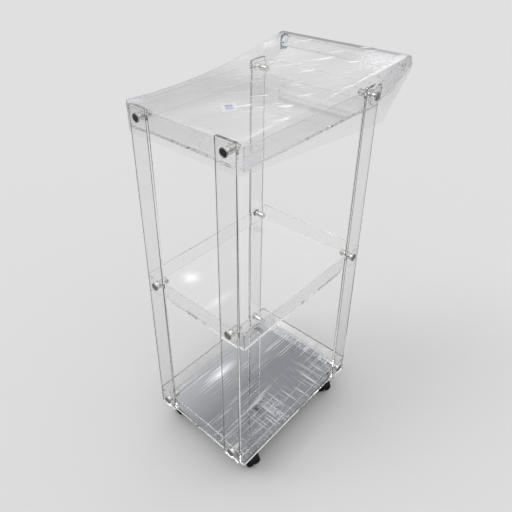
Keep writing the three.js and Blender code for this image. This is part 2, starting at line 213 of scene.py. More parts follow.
def black_steel():
    """Zinc-plated steel, blackened: dark, half gloss, a little cloudy."""
    material, tree, place = start_material("black_steel")
    cloud = add_node(tree, "TexNoise", {"Vector": place, "Scale": per(6 * MM), "Detail": 3.0})
    rough = add_node(tree, "MapRange", {"Value": cloud, "To Min": 0.25, "To Max": 0.5})
    shader = add_node(tree, "BsdfPrincipled", {
        "Base Color": linear("#3a3a3d"), "Metallic": 1.0, "Roughness": rough})
    return close_material(material, shader)


def stretch_film():
    """Stretch film: nearly clear, a grey veil edge-on, glossy on both faces, white at its creases, partly as
    painted highlights.
    """
    material, tree, place = start_material("stretch_film")
    crease_and_highlight = add_node(tree, "Attribute", attribute_name="crease_and_highlight")
    veil = add_node(tree, "Attribute", attribute_name="veil")
    pulled = add_node(tree, "Mapping", {
        "Vector": place, "Scale": (per(7.7 * MM), per(45 * MM), per(7.7 * MM))})
    fine = add_node(tree, "TexNoise", {"Vector": pulled, "Scale": 1.0, "Detail": 3.0})
    bump = add_node(tree, "Bump", {"Height": fine, "Strength": 0.35, "Distance": 1.2 * MM})
    edge_on = add_node(tree, "LayerWeight", {"Blend": 0.5, "Normal": bump})
    steep = add_node(tree, "Math", {0: edge_on.outputs["Facing"], 1: 5.0}, operation="POWER")
    mirror = add_node(tree, "MapRange", {"Value": steep, "To Min": 0.05, "To Max": 0.9})
    square_on = add_node(tree, "Math", {0: 1.06, 1: edge_on.outputs["Facing"]}, operation="SUBTRACT")
    thick = add_node(tree, "Math", {
        0: veil.outputs["Fac"], 1: square_on}, operation="DIVIDE", use_clamp=True)
    body = add_node(tree, "Math", {0: crease_and_highlight.outputs["Fac"], 1: thick}, operation="ADD", use_clamp=True)
    whiter = add_node(tree, "Math", {0: crease_and_highlight.outputs["Fac"], 1: body}, operation="DIVIDE", use_clamp=True)
    cover = add_node(tree, "Math", {0: body, 1: mirror}, operation="ADD", use_clamp=True)
    share = add_node(tree, "Math", {0: mirror, 1: cover}, operation="DIVIDE", use_clamp=True)
    white = linear("#fafafd")
    # White where the film is crumpled: partly its own whitening, partly painted highlights
    tint = add_node(tree, "Mix", {"Factor": whiter, "A": linear("#74767b"), "B": white}, data_type="RGBA")
    colour = add_node(tree, "Mix", {"Factor": share, "A": tint, "B": white}, data_type="RGBA")
    shader = add_node(tree, "BsdfPrincipled", {
        "Base Color": colour, "Metallic": share, "Roughness": 0.12, "Alpha": cover, "Normal": bump})
    return close_material(material, shader)


def label_paper():
    """Coated label paper: white and matt, with a faint fibre mottle and a plain tinted box to write in."""
    material, tree, place = start_material("label_paper")
    centred = add_node(tree, "Mapping", {
        "Vector": place, "Location": (*LABEL_PLACE, 0.0),
        "Rotation": (0.0, 0.0, LABEL_TURN)}, vector_type="TEXTURE")
    spot = add_node(tree, "SeparateXYZ", {"Vector": centred})
    inside = []
    for axis, half in zip("XY", (0.25 * size for size in LABEL_SIZE)):
        away = add_node(tree, "Math", {0: spot.outputs[axis]}, operation="ABSOLUTE")
        inside.append(add_node(tree, "Math", {0: away, 1: half}, operation="LESS_THAN"))
    box = add_node(tree, "Math", {0: inside[0], 1: inside[1]}, operation="MULTIPLY")
    fibre = add_node(tree, "TexNoise", {"Vector": place, "Scale": per(1.7 * MM), "Detail": 4.0})
    tint = add_node(tree, "Mix", {
        "Factor": fibre, "A": linear("#fbfbfd"), "B": linear("#f2f3f7")}, data_type="RGBA")
    colour = add_node(tree, "Mix", {"Factor": box, "A": tint, "B": linear("#b4bbdb")}, data_type="RGBA")
    bump = add_node(tree, "Bump", {"Height": fibre, "Strength": 0.1, "Distance": 0.1 * MM})
    shader = add_node(tree, "BsdfPrincipled", {"Base Color": colour, "Roughness": 0.6, "Normal": bump})
    return close_material(material, shader)


def masking_film():
    """Blue masking film: the soft polythene skin of new sheet, pale, satin and a little wrinkled."""
    material, tree, place = start_material("masking_film")
    wrinkle = add_node(tree, "TexNoise", {"Vector": place, "Scale": per(8 * MM), "Detail": 2.0})
    tint = add_node(tree, "Mix", {
        "Factor": wrinkle, "A": linear("#8cbedb"), "B": linear("#d3e6f0")}, data_type="RGBA")
    bump = add_node(tree, "Bump", {"Height": wrinkle, "Strength": 0.4, "Distance": 1 * MM})
    shader = add_node(tree, "BsdfPrincipled", {"Base Color": tint, "Roughness": 0.4, "Normal": bump})
    return close_material(material, shader)


def lamp_glow(peak):
    """A lamp that fades to its edge, so that its glint is soft."""
    material, tree, place = start_material("lamp_glow")
    ball = add_node(tree, "TexGradient", {"Vector": place}, gradient_type="QUADRATIC_SPHERE")
    power = add_node(tree, "Math", {0: ball.outputs["Fac"], 1: peak}, operation="MULTIPLY")
    glow = add_node(tree, "Emission", {"Strength": power})
    ceiling = add_node(tree, "BsdfTransparent")
    shader = add_node(tree, "AddShader", {0: glow, 1: ceiling})
    return close_material(material, shader)


def dark_board():
    """A dark board, seen only in reflections, that fades to its edge, so that the painted dark reflection it
    gives has no hard patch.
    """
    material, tree, place = start_material("dark_board")
    ball = add_node(tree, "TexGradient", {"Vector": place}, gradient_type="QUADRATIC_SPHERE")
    solid = add_node(tree, "MapRange", {"Value": ball.outputs["Fac"], "From Max": 0.3})
    dark = add_node(tree, "BsdfDiffuse", {"Color": linear("#222224")})
    shader = add_node(tree, "MixShader", {0: solid, 1: add_node(tree, "BsdfTransparent"), 2: dark})
    return close_material(material, shader)


def pale_floor():
    """A plain pale floor. Polished metal sees it darker: a painted dark reflection."""
    material, tree, _ = start_material("pale_floor")
    ray = add_node(tree, "LightPath")
    mirrored = add_node(tree, "Math", {
        0: ray.outputs["Is Glossy Ray"],
        1: ray.outputs["Is Transmission Ray"]}, operation="SUBTRACT", use_clamp=True)
    # Darker for glossy rays only: painted dark reflections in the chrome and the mirror
    tone = add_node(tree, "Mix", {
        "Factor": mirrored, "A": linear("#dedede"), "B": linear("#828282")}, data_type="RGBA")
    shader = add_node(tree, "BsdfDiffuse", {"Color": tone})
    return close_material(material, shader)


ACRYLIC = clear_acrylic()
CHAMFER = scraped_chamfer_painted_dark()
CHROME = polished_chrome()
MIRROR = grey_mirror()
NYLON = black_nylon()
STEEL = black_steel()
FILM = stretch_film()
PAPER = label_paper()
MASKING = masking_film()


def as_object(name, shape):
    """Puts a bmesh into the scene as an object."""
    mesh = bpy.data.meshes.new(name)
    shape.to_mesh(mesh)
    shape.free()
    made = bpy.data.objects.new(name, mesh)
    bpy.context.scene.collection.objects.link(made)
    return made


def finish_piece(name, shape, material, slot, body, *nodes):
    """Makes a piece of a bmesh, with true flats, smooth rounds and sharp corners, in place of its solids."""
    for face in shape.faces:
        face.smooth = max(abs(part) for part in face.normal) < FLAT_FACE
    for edge in shape.edges:
        edge.smooth = edge.calc_face_angle(0) < SHARP_ANGLE
    made = as_object(name, shape)
    made.data.materials.append(material)
    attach(made, body)
    if nodes:
        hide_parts(*nodes)
    return made


def block(low, high):
    """A cube shape between two corners."""
    shape = bmesh.new()
    size = high - low
    place = Matrix.Translation((low + high) / 2) @ Matrix.Diagonal((*size, 1))
    bmesh.ops.create_cube(shape, size=1, matrix=place)
    return shape


def round_edges(shape, edges, radius, segments):
    bmesh.ops.bevel(shape, geom=edges, offset=radius, offset_type="OFFSET", segments=segments, profile=0.5,
                    affect="EDGES", material=-1, clamp_overlap=True)


def placed(shape, matrix):
    """Puts a shape in its place."""
    bmesh.ops.transform(shape, matrix=matrix, verts=shape.verts)
    return shape


def move_new(shape, made, step):
    """Moves the vertices that an operator has just made."""
    fresh = [part for part in made["geom"] if isinstance(part, bmesh.types.BMVert)]
    bmesh.ops.translate(shape, verts=fresh, vec=step)


def edges_along(shape, axis):
    """The straight edges that run along an axis, 0 for X, 1 for Y and 2 for Z."""
    found = []
    for edge in shape.edges:
        run = edge.verts[1].co - edge.verts[0].co
        if abs(run[axis]) > 0.999 * run.length:
            found.append(edge)
    return found


def corner_edges(shape):
    return [edge for edge in shape.edges if edge.calc_face_angle(0) > SHARP_ANGLE]


def turned(profile, steps=ROUND_STEPS):
    """A round shape about Z from radius and height pairs."""
    shape = bmesh.new()
    line = [shape.verts.new((radius, 0, height)) for radius, height in profile]
    edges = [shape.edges.new(pair) for pair in zip(line, line[1:])]
    bmesh.ops.spin(shape, geom=[*line, *edges], axis=(0, 0, 1), cent=(0, 0, 0), steps=steps,
                   angle=2 * math.pi, use_merge=True)
    bmesh.ops.remove_doubles(shape, verts=shape.verts, dist=1e-6)
    bmesh.ops.recalc_face_normals(shape, faces=shape.faces)
    return shape


def combined(shape, others, operation):
    """Cuts closed shapes out of another, or joins them to it."""
    objects = [as_object("joining", part) for part in [shape, *others]]
    for other in objects[1:]:
        modifier = objects[0].modifiers.new("joining", "BOOLEAN")
        modifier.operation = operation
        modifier.solver = "EXACT"
        modifier.object = other
    graph = bpy.context.evaluated_depsgraph_get()
    result = bmesh.new()
    result.from_mesh(objects[0].evaluated_get(graph).data)
    for made in objects:
        mesh = made.data
        bpy.data.objects.remove(made)
        bpy.data.meshes.remove(mesh)
    return result


def drilled(shape, cutters):
    return combined(shape, cutters, "DIFFERENCE")


def standing_on(point, outward):
    """The turn and place that stand a shape's +Z on a point, along a direction."""
    return Matrix.Translation(point) @ outward.to_track_quat("Z", "Y").to_matrix().to_4x4()


def middle(node):
    low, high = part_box(node)
    return (low + high) / 2


def outward_of(end, side):
    """The way a stand-off's cap faces."""
    return Vector((0, -1, 0)) if end == "front" else Vector((SIDES[side], 0, 0))


def outer_end(node, outward):
    """The middle of a round node's outer end, its length along its axis, and its radius."""
    low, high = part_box(node)
    length = abs((high - low).dot(outward))
    return (low + high) / 2 + outward * length / 2, length, (high.z - low.z) / 2


def hole_cutter(point, outward, radius, length):
    cut = turned([(0, -length), (radius, -length), (radius, length), (0, length)], 32)
    return placed(cut, standing_on(point, outward))


def bolt_holes(places):
    """Cutters for the holes that the stand-offs go through."""
    cutters = []
    for tier, end, side in places:
        outward = outward_of(end, side)
        point, length, _ = outer_end(f"cap_screw_{tier}_{end}_{side}", outward)
        cutters.append(hole_cutter(point, outward, HOLE_R, length))
    return cutters


def make_trays():
    for tier in TIERS:
        node = f"{tier}_tray"
        low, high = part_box(node)
        shape = block(low, high)
        shape.faces.ensure_lookup_table()
        top = max(shape.faces, key=lambda face: face.calc_center_median().z)
        bmesh.ops.inset_region(shape, faces=[top], thickness=SHEET)
        well = bmesh.ops.extrude_discrete_faces(shape, faces=[top])["faces"]
        drop = low.z + SHEET - high.z
        bmesh.ops.translate(shape, verts=list({v for face in well for v in face.verts}), vec=(0, 0, drop))
        upright = [edge for edge in edges_along(shape, 2) if abs(abs(edge.verts[0].co.x) - high.x) < MM]
        round_edges(shape, upright, TRAY_CORNER_R, 5)
        outer = [edge for edge in corner_edges(shape) if edge not in edges_along(shape, 2)]
        round_edges(shape, outer, EDGE_ROUND, 2)
        holes = bolt_holes((tier, *corner) for corner in CORNERS)
        finish_piece(f"acrylic_{node}", drilled(shape, holes), ACRYLIC, "clear_acrylic", TROLLEY, node)


def make_legs():
    for end, side in CORNERS:
        node = f"leg_{end}_{side}"
        low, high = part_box(node)
        thin = 1 if end == "front" else 0
        if outward_of(end, side)[thin] < 0:
            high[thin] -= AIR_GAP
        else:
            low[thin] += AIR_GAP
        shape = block(low, high)
        round_edges(shape, edges_along(shape, thin), LEG_CORNER_R, 6)
        round_edges(shape, corner_edges(shape), LEG_CHAMFER, 1)
        shape = drilled(shape, bolt_holes((tier, end, side) for tier in TIERS))
        # Slanting chamfer faces get the scraped finish, painted dark grey for the edge lines
        for face in shape.faces:
            slanting = 0.2 < abs(face.normal[thin]) < 0.98
            face.material_index = 1 if slanting else 0
        leg = finish_piece(f"acrylic_{node}", shape, ACRYLIC, "clear_acrylic", TROLLEY, node)
        leg.data.materials.append(CHAMFER)


def chrome_cap(radius, length):
    """A screw about Z: a dished cap with its outer face on z = 0, a shank and a stud."""
    foot = -length
    return turned([
        (0, foot), (STUD_R - EDGE_ROUND, foot), (STUD_R, foot + EDGE_ROUND), (STUD_R, foot + STUD_LENGTH),
        (SHANK_R, foot + STUD_LENGTH), (SHANK_R, -CAP_THICK), (radius - 0.3 * MM, -CAP_THICK),
        (radius, -CAP_THICK + 0.3 * MM), (radius, -1.2 * MM), (radius - 0.3 * MM, -0.5 * MM),
        (radius - 1.1 * MM, 0), (radius - 2.2 * MM, 0), (radius - 2.6 * MM, -0.4 * MM),
        (0.3 * radius, -0.65 * MM), (0, -0.7 * MM)])


def chrome_barrel(radius, length):
    """A nut about Z with its mouth on z = 0: a hole for the stud, a groove and a dished foot."""
    foot = -length
    hole_r = STUD_R + 0.4 * MM
    groove_r = radius - 0.6 * MM
    return turned([
        (0, foot + 0.6 * MM), (0.55 * radius, foot + 0.6 * MM), (0.6 * radius, foot),
        (radius - 1.2 * MM, foot), (radius - 0.3 * MM, foot + 0.4 * MM), (radius, foot + 1.2 * MM),
        (radius, -3.4 * MM), (groove_r, -3.0 * MM), (groove_r, -2.2 * MM), (radius, -1.8 * MM),
        (radius, -AIR_GAP - 0.3 * MM), (radius - 0.3 * MM, -AIR_GAP), (hole_r, -AIR_GAP),
        (hole_r, -STUD_HOLE), (0, -STUD_HOLE)])


def make_stand_offs():
    for tier in TIERS:
        for end, side in CORNERS:
            outward = outward_of(end, side)
            for kind, name, make in (("cap_screw", "chrome_cap", chrome_cap),
                                     ("barrel_nut", "chrome_barrel", chrome_barrel)):
                node = f"{kind}_{tier}_{end}_{side}"
                point, length, radius = outer_end(node, outward)
                shape = placed(make(radius, length), standing_on(point, outward))
                finish_piece(f"{name}_{tier}_{end}_{side}", shape, CHROME, "chrome", TROLLEY, node)


def make_handle():
    low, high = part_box("handle_rod")
    radius = (high.z - low.z) / 2
    half = (high.x - low.x) / 2
    centre = (low + high) / 2
    rod = turned([(0, -half), (radius - MM, -half), (radius, -half + MM),
                  (radius, half - MM), (radius - MM, half), (0, half)], 2 * ROUND_STEPS)
    placed(rod, standing_on(centre, Vector((1, 0, 0))))
    finish_piece("acrylic_handle_rod", rod, ACRYLIC, "clear_acrylic", TROLLEY, "handle_rod")
    for side, sign in SIDES.items():
        node = f"handle_arm_{side}"
        low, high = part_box(node)
        outward = Vector((sign, 0, 0))
        bolt = middle(f"cap_screw_top_rear_{side}")
        reach = high.y - centre.y
        inner_x = min(abs(low.x), abs(high.x)) + AIR_GAP
        outer_x = max(abs(low.x), abs(high.x))
        plate = bmesh.new()
        bmesh.ops.create_circle(plate, cap_ends=True, segments=2 * ROUND_STEPS, radius=reach)
        placed(plate, standing_on(Vector((sign * inner_x, bolt.y, bolt.z)), outward))
        run = Vector((0, centre.y - bolt.y, centre.z - bolt.z))
        far = [v for v in plate.verts if (v.co - bolt).dot(run) > 1e-6]
        bmesh.ops.translate(plate, verts=far, vec=run)
        grown = bmesh.ops.extrude_face_region(plate, geom=list(plate.faces))
        move_new(plate, grown, outward * (outer_x - inner_x))
        bmesh.ops.recalc_face_normals(plate, faces=plate.faces)
        round_edges(plate, corner_edges(plate), 0.8 * MM, 3)
        mid_x = sign * (inner_x + outer_x) / 2
        hole = hole_cutter(Vector((mid_x, bolt.y, bolt.z)), outward, HOLE_R, 2 * SHEET)
        socket_depth = half + 0.3 * MM - inner_x
        seat = Vector((sign * inner_x, centre.y, centre.z))
        plate = drilled(plate, [hole, hole_cutter(seat, outward, radius + 0.3 * MM, socket_depth)])
        finish_piece(f"acrylic_{node}", plate, ACRYLIC, "clear_acrylic", TROLLEY, node)


def make_mirror():
    low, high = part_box("base_mirror")
    low.z += AIR_GAP
    shape = block(low, high)
    round_edges(shape, edges_along(shape, 2), TRAY_CORNER_R, 5)
    round_edges(shape, corner_edges(shape), 0.25 * MM, 2)
    finish_piece("mirror_base_sheet", shape, MIRROR, "grey_mirror", TROLLEY, "base_mirror")


# Casters: shapes that the boxes of their solids don't give
PLATE_THICK = 2.5 * MM
PLATE_CORNER_R = 6 * MM
PIN_R = 5 * MM
PIN_BORE = 17 * MM
BOSS_R = 12 * MM
BOSS_FOOT_Z = 30 * MM
HOOD_GAP = 1.2 * MM
HOOD_THICK = 2.2 * MM
HOOD_FROM = math.radians(12)
HOOD_TO = math.radians(192)
WEB_THICK = 7 * MM
WHEEL_WIDTH = 14 * MM
WHEEL_GAP = 0.4 * MM
WHEEL_RIM_R = 14.5 * MM
WHEEL_HUB_R = 7 * MM
WHEEL_DISH = 2.5 * MM
WHEEL_RIBS = 6
AXLE_R = 3 * MM
SCREW_PITCH = 33 * MM
SCREW_HEAD_R = 3.8 * MM
SCREW_HEAD_RISE = 2.2 * MM
SCREW_SLOT = 1 * MM


def lying_across(z, x):
    """Turns a round shape's axis from Z to Y and moves it to a height and a distance along X."""
    return Matrix.Translation((x, 0, z)) @ Matrix.Rotation(math.radians(-90), 4, "X")


def rounded_arch(radius, thick, width, edge):
    """A half ring about Y: a round-edged strip swept over the wheels."""
    shape = bmesh.new()
    strip = Matrix.Translation((radius, 0, 0)) @ Matrix.Diagonal((thick, width, 1, 1))
    bmesh.ops.create_grid(shape, x_segments=1, y_segments=1, size=0.5, matrix=strip)
    bmesh.ops.bevel(shape, geom=list(shape.verts), offset=edge, offset_type="OFFSET", segments=3,
                    profile=0.5, affect="VERTICES", material=-1)
    bmesh.ops.rotate(shape, verts=shape.verts, cent=(0, 0, 0), matrix=Matrix.Rotation(-HOOD_FROM, 3, "Y"))
    bmesh.ops.spin(shape, geom=[*shape.verts, *shape.edges, *shape.faces], axis=(0, -1, 0), cent=(0, 0, 0),
                   steps=40, angle=HOOD_TO - HOOD_FROM)
    bmesh.ops.recalc_face_normals(shape, faces=shape.faces)
    return shape


def caster_hood(radius, trail, top):
    """Boss, fender and web in one moulding, standing on the floor with its swivel axis on Z."""
    inner = radius + HOOD_GAP
    outer = inner + HOOD_THICK
    width = WEB_THICK + 2 * (WHEEL_GAP + WHEEL_WIDTH)
    boss = turned([(0, BOSS_FOOT_Z), (BOSS_R, BOSS_FOOT_Z), (BOSS_R, top - 6 * MM),
                   (BOSS_R - MM, top - 5 * MM), (BOSS_R - MM, top - 4 * MM), (BOSS_R, top - 3 * MM),
                   (BOSS_R, top - MM), (BOSS_R - MM, top), (0, top)])
    rooms = []
    for sign in SIDES.values():
        near = sign * WEB_THICK / 2
        far = sign * width
        room = turned([(0, near), (inner, near), (inner, far), (0, far)])
        rooms.append(placed(room, lying_across(radius, trail)))
    body = drilled(boss, rooms)
    fender = rounded_arch(inner + HOOD_THICK / 2, HOOD_THICK, width, 0.4 * HOOD_THICK)
    bmesh.ops.translate(fender, verts=fender.verts, vec=(trail, 0, radius))
    web = bmesh.new()
    bmesh.ops.create_circle(web, cap_ends=True, segments=2 * ROUND_STEPS, radius=1)
    for vert in web.verts:
        angle = math.atan2(vert.co.y, vert.co.x) % (2 * math.pi)
        reach = outer - HOOD_THICK / 2 if HOOD_FROM < angle < HOOD_TO else BOSS_R
        vert.co *= reach
    grown = bmesh.ops.extrude_face_region(web, geom=list(web.faces))
    move_new(web, grown, (0, 0, WEB_THICK))
    bmesh.ops.recalc_face_normals(web, faces=web.faces)
    upright = Matrix.Rotation(math.radians(90), 4, "X")
    placed(web, Matrix.Translation((trail, WEB_THICK / 2, radius)) @ upright)
    body = combined(body, [fender, web], "UNION")
    bore_r = PIN_R + WHEEL_GAP
    bore_foot = top - PIN_BORE
    bore = turned([(0, bore_foot), (bore_r, bore_foot), (bore_r, top + MM), (0, top + MM)])
    return drilled(body, [bore])


def caster_wheel(radius):
    """One wheel about Z, its inner face on z = 0: a crowned tread, a rolled rim and a ribbed dish."""
    bore = AXLE_R + WHEEL_GAP
    dish = WHEEL_WIDTH - WHEEL_DISH
    hub = WHEEL_WIDTH - MM
    wheel = turned([
        (bore, 0), (radius - 1.2 * MM, 0), (radius - 0.4 * MM, 0.3 * MM), (radius, 1.2 * MM),
        (radius, WHEEL_WIDTH - 4.5 * MM), (radius - 0.5 * MM, WHEEL_WIDTH - 2.6 * MM),
        (radius - 1.6 * MM, WHEEL_WIDTH - MM), (radius - 3.2 * MM, WHEEL_WIDTH - 0.2 * MM),
        (WHEEL_RIM_R + MM, WHEEL_WIDTH), (WHEEL_RIM_R, WHEEL_WIDTH - 0.4 * MM),
        (WHEEL_RIM_R - 1.5 * MM, dish), (WHEEL_HUB_R + 0.5 * MM, dish), (WHEEL_HUB_R, dish + 0.5 * MM),
        (WHEEL_HUB_R, hub - 0.5 * MM), (WHEEL_HUB_R - 0.5 * MM, hub), (bore, hub), (bore, 0)])
    ribs = []
    for i in range(WHEEL_RIBS):
        rib = block(Vector((WHEEL_HUB_R - MM, -0.7 * MM, dish - MM)),
                    Vector((WHEEL_RIM_R, 0.7 * MM, hub - 0.6 * MM)))
        bmesh.ops.rotate(rib, verts=rib.verts, cent=(0, 0, 0),
                         matrix=Matrix.Rotation(2 * math.pi * i / WHEEL_RIBS, 3, "Z"))
        ribs.append(rib)
    return combined(wheel, ribs, "UNION")


def caster_axle(radius, trail):
    half = WEB_THICK / 2 + WHEEL_GAP + WHEEL_WIDTH - MM
    edge = 0.6 * MM
    axle = turned([(0, -half), (AXLE_R - edge, -half), (AXLE_R, -half + edge),
                   (AXLE_R, half - edge), (AXLE_R - edge, half), (0, half)], 32)
    return placed(axle, lying_across(radius, trail))


def caster_plate(side, low, top, pin_foot):
    """The plate with its swivel pin on Z."""
    half = side / 2
    plate = block(Vector((-half, -half, low)), Vector((half, half, top)))
    round_edges(plate, edges_along(plate, 2), PLATE_CORNER_R, 6)
    round_edges(plate, corner_edges(plate), EDGE_ROUND, 2)
    pin = turned([(0, pin_foot), (PIN_R - MM, pin_foot), (PIN_R, pin_foot + MM), (PIN_R, low + MM),
                  (0, low + MM)])
    return combined(plate, [pin], "UNION")


def caster_screw(height):
    """A slotted round head that hangs below a height."""
    head = turned([(0, -SCREW_HEAD_RISE), (0.5 * SCREW_HEAD_R, -0.93 * SCREW_HEAD_RISE),
                   (0.85 * SCREW_HEAD_R, -0.6 * SCREW_HEAD_RISE), (SCREW_HEAD_R, 0), (0, 0)], 24)
    slot = block(Vector((-SCREW_HEAD_R, -SCREW_SLOT / 2, -2 * SCREW_HEAD_RISE)),
                 Vector((SCREW_HEAD_R, SCREW_SLOT / 2, -0.5 * SCREW_HEAD_RISE)))
    head = drilled(head, [slot])
    bmesh.ops.translate(head, verts=head.verts, vec=(0, 0, height))
    return head


def caster_screws(height):
    """Four screw heads under the plate's corners."""
    screws = caster_screw(height)
    bmesh.ops.translate(screws, verts=screws.verts, vec=(-SCREW_PITCH / 2, -SCREW_PITCH / 2, 0))
    for step in ((SCREW_PITCH, 0, 0), (0, SCREW_PITCH, 0)):
        copies = bmesh.ops.duplicate(screws, geom=[*screws.verts, *screws.edges, *screws.faces])
        move_new(screws, copies, step)
    return screws


def make_casters():
    """Four casters alike, each turned to its own heading."""
    wheel_low, wheel_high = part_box("caster_wheel_a_front_left")
    plate_low, plate_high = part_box("caster_plate_front_left")
    radius = (wheel_high.z - wheel_low.z) / 2
    trail = (middle("caster_axle_front_left").xy - middle("caster_plate_front_left").xy).length
    plate_foot = plate_high.z - PLATE_THICK
    hood = caster_hood(radius, trail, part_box("caster_hood_front_left")[1].z)
    axle = caster_axle(radius, trail)
    wheel = caster_wheel(radius)
    plate = caster_plate(plate_high.x - plate_low.x, plate_foot, plate_high.z - AIR_GAP, plate_low.z)
    screws = caster_screws(plate_foot)
    beside_web = Matrix.Translation((0, 0, WEB_THICK / 2 + WHEEL_GAP))
    wheel_turns = {"a": beside_web, "b": Matrix.Rotation(math.pi, 4, "X") @ beside_web}
    for end, side in CORNERS:
        place = f"{end}_{side}"
        caster = f"caster_{place}"
        pivot = middle(f"caster_plate_{place}")
        hub = middle(f"caster_axle_{place}")
        stand = Matrix.Translation((pivot.x, pivot.y, 0))
        turn = stand @ Matrix.Rotation(math.atan2(hub.y - pivot.y, hub.x - pivot.x), 4, "Z")
        finish_piece(f"nylon_hood_{place}", placed(hood.copy(), turn), NYLON, "black_nylon", caster,
                     f"caster_hood_{place}")
        finish_piece(f"steel_axle_{place}", placed(axle.copy(), turn), STEEL, "black_steel", caster,
                     f"caster_axle_{place}")
        for mark, shift in wheel_turns.items():
            shape = placed(wheel.copy(), turn @ lying_across(radius, trail) @ shift)
            finish_piece(f"nylon_wheel_{mark}_{place}", shape, NYLON, "black_nylon",
                         f"wheel_{mark}_{place}", f"caster_wheel_{mark}_{place}")
        finish_piece(f"steel_plate_{place}", placed(plate.copy(), stand), STEEL, "black_steel", TROLLEY,
                     f"caster_plate_{place}")
        finish_piece(f"steel_screws_{place}", placed(screws.copy(), stand), STEEL, "black_steel", TROLLEY)
    for shape in (hood, axle, wheel, plate, screws):
        shape.free()


# A blank paper label on the top tray's floor, and a strip of masking film left on the handle's left arm
LABEL_CORNER_R = 2 * MM
LABEL_THICK = 0.15 * MM
LABEL_CURL = 1.2 * MM
MASK_WIDTH = 34 * MM
MASK_THICK = 0.1 * MM
MASK_CORNER_R = 1.5 * MM


def thin_patch(width, length, corner, thick):
    """A thin rectangle in X and Y with round corners, finely divided so that it can bend."""
    shape = block(Vector((-width / 2, -length / 2, 0)), Vector((width / 2, length / 2, thick)))
    round_edges(shape, edges_along(shape, 2), corner, 4)
    sides = edges_along(shape, 0) + edges_along(shape, 1)
    bmesh.ops.subdivide_edges(shape, edges=sides, cuts=12, use_grid_fill=True)
    return shape


def make_label():
    width, length = LABEL_SIZE
    floor_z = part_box("top_tray")[0].z + SHEET
    label = thin_patch(width, length, LABEL_CORNER_R, LABEL_THICK)
    for vert in label.verts:
        lift = max(0.0, vert.co.x / width + vert.co.y / length - 0.55)
        vert.co.z += LABEL_CURL * lift ** 2 / 0.2
    placed(label, Matrix.Translation((*LABEL_PLACE, floor_z + AIR_GAP))
           @ Matrix.Rotation(LABEL_TURN, 4, "Z"))
    finish_piece("paper_label_blank", label, PAPER, None, TROLLEY)


def make_masking():
    low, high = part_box("handle_arm_left")
    rod = middle("handle_rod")
    reach = high.y - rod.y
    strip = thin_patch(MASK_WIDTH, 1.9 * reach, MASK_CORNER_R, MASK_THICK)
    placed(strip, standing_on(Vector((low.x - AIR_GAP, rod.y, rod.z)), Vector((-1, 0, 0))))
    finish_piece("masking_film_strip", strip, MASKING, None, TROLLEY)


# Stretch film: the size of its mesh, how far it sags, and the size of its folds
FILM_INSET = 0.4 * MM
FILM_CELL = 2.4 * MM
FILM_WALL_ROWS = 44
FILM_GAP = 2 * MM
FILM_FRONT_RISE = 3.4 * MM
FILM_DIP_Y = 300 * MM
FILM_DIP = 19.6 * MM
FILM_FRONT_DROP = 8 * MM
FILM_REAR_DROP = 39 * MM
FILM_TAIL = 14 * MM
FILM_TAIL_ROWS = 4
TAUT_SHARE = 1.4
FOLD_WIDTH = 0.18
FOLD_HEIGHT = 1.6 * MM
HATCH_SPACING = 8 * MM
HATCH_SLANT = 0.6
WAVE_HEIGHT = 0.6 * MM
FILM_VEIL = (0.02, 0.10)
HANDLE_TOP_VEIL = 0.9
HANDLE_TOP_WIDTH = 10 * MM
RIDGE_IN = 8 * MM
RIDGE_WIDTH = 6 * MM
RIDGE_START = 0.2
# How white the ridge and the streaks are drawn: painted highlights on real folds
RIDGE_WHITE = 1.5
STREAK_WHITE = 3.5
# Grain of the film's marks on the flat sheet: angle, size across, size along, and a seed
FOLD_WAYS = (
    (0.1, 22 * MM, 160 * MM, 1.7), (0.55, 26 * MM, 120 * MM, 5.3),
    (-0.5, 24 * MM, 120 * MM, 9.1), (1.35, 20 * MM, 100 * MM, 12.9))
STREAK_WAY = (-0.82, 20 * MM, 300 * MM, 21.3)
STREAK_BREAK = (-0.82, 22 * MM, 45 * MM, 8.8)
RIDGE_BREAK = (0, 20 * MM, 30 * MM, 4.4)
HATCH_WANDER = (0, 20 * MM, 20 * MM, 6.6)
WAVE_WAY = (0, 50 * MM, 160 * MM, 7.7)
RIPPLE_WAY = (0, 25 * MM, 70 * MM, 2.2)
CLOUD_WAY = (0, 140 * MM, 200 * MM, 5.5)
# Where streaks begin, across and along the sheet
STREAKS_FROM = (-150 * MM, 50 * MM)
STREAKS_AFTER = (80 * MM, 240 * MM)
# Clear places: across and along the flat sheet from its front edge, and radius
FILM_CLEAR_PLACES = {
    "over the label": (35 * MM, 123 * MM, 50 * MM),
    "before the rear left cap": (-120 * MM, 370 * MM, 40 * MM)}
# Bunched places: across and along the flat sheet from its front edge, radius, and how white, which is partly
# painted highlight
FILM_PATCHES = {
    "handle, right end": (165 * MM, 530 * MM, 50 * MM, 1.0),
    "below the handle's right end": (210 * MM, 580 * MM, 40 * MM, 0.7),
    "right wall by the handle": (240 * MM, 530 * MM, 40 * MM, 0.75),
    "front, beside the right cap": (80 * MM, -12.5 * MM, 22 * MM, 0.8),
    "front right corner": (215 * MM, 30 * MM, 30 * MM, 0.9),
    "front left corner": (-160 * MM, 20 * MM, 25 * MM, 0.6),
    "handle, left end": (-180 * MM, 505 * MM, 25 * MM, 0.6),
    "rear left cap": (-175 * MM, 400 * MM, 20 * MM, 0.3)}


def blend_line(points, at):
    """The height over a place on a line of (place, height) corners."""
    for (a, low), (b, high) in zip(points, points[1:]):
        if at <= b:
            return low + (high - low) * (at - a) / (b - a)
    return points[-1][1]


